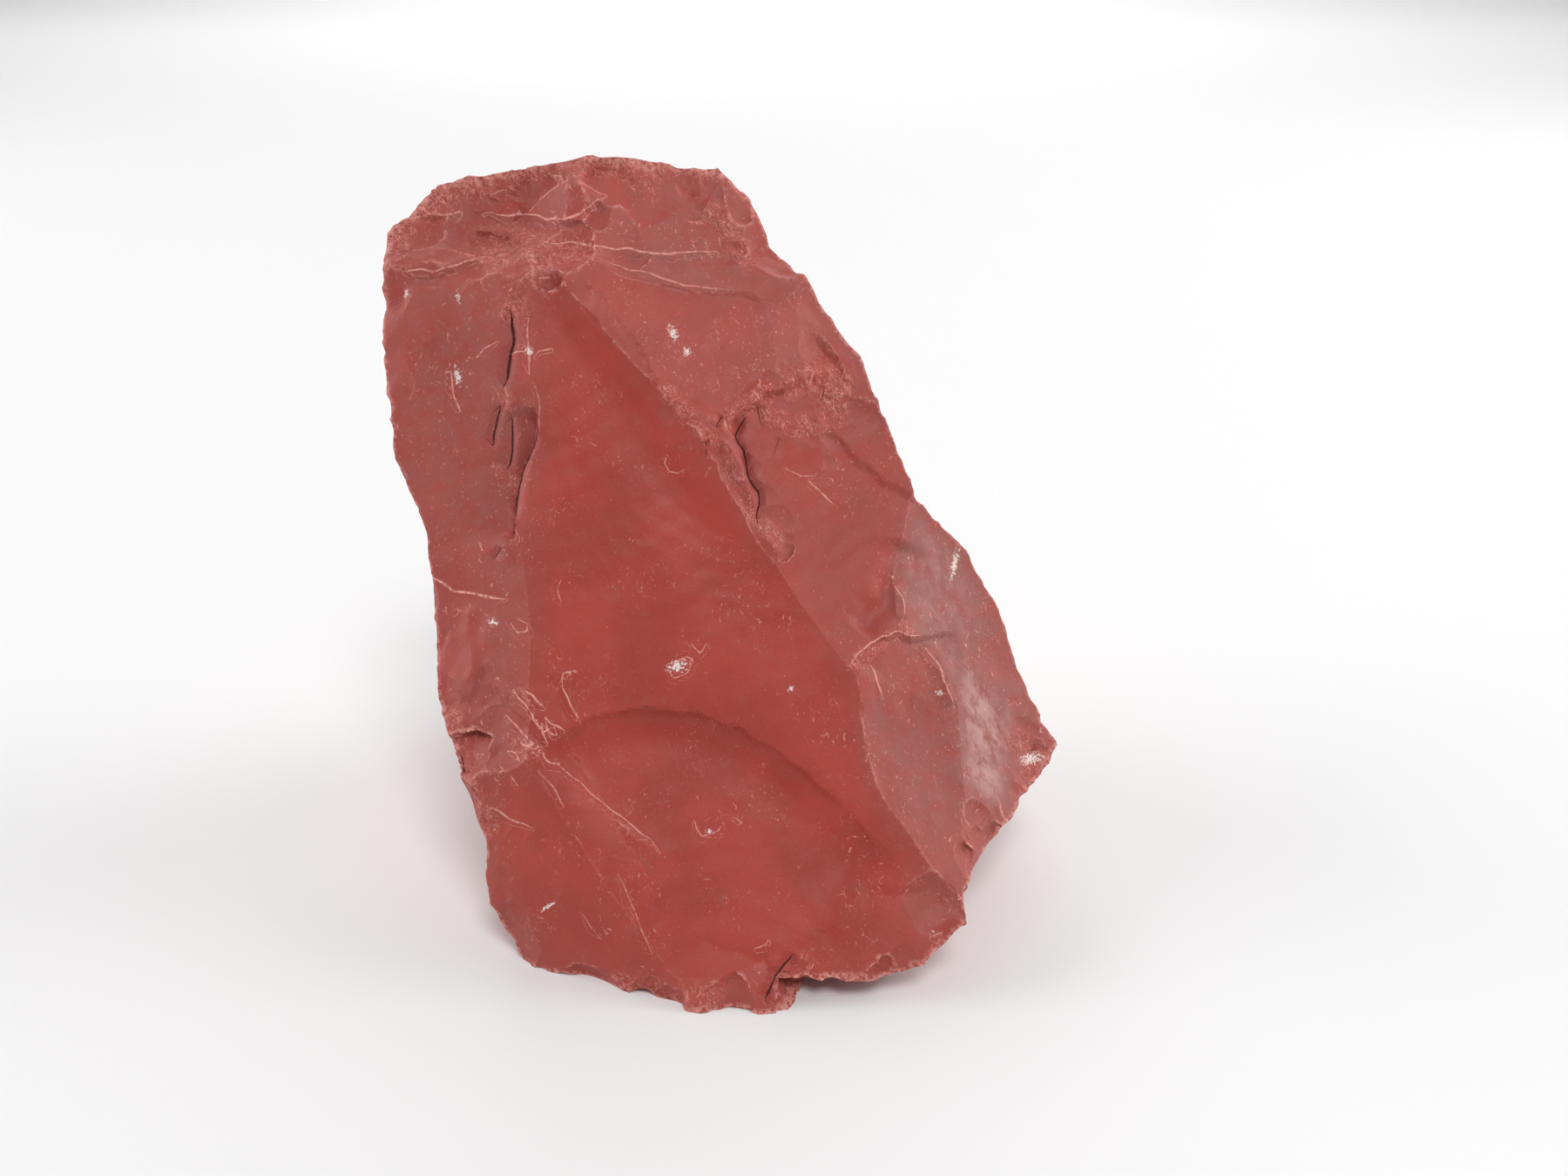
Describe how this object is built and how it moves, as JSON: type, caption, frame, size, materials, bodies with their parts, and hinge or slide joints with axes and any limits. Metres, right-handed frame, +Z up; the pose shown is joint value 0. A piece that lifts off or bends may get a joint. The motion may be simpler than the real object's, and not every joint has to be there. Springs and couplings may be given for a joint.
{
  "type": "rough red jasper stone",
  "caption": "Rough palm-sized piece of red jasper with broad shell-shaped breaks, a chipped crown and sharp edges, resting on a flat face.",
  "frame": {"origin": "on the resting face, near its middle", "axes": "+Z up from the resting face; the largest smooth break faces -Y"},
  "size_m": [0.0837, 0.0715, 0.0877],
  "materials": {
    "jasper": "dull waxy broken stone"
  },
  "bodies": {
    "root": {"red_jasper": "jasper"}
  },
  "joints": []
}
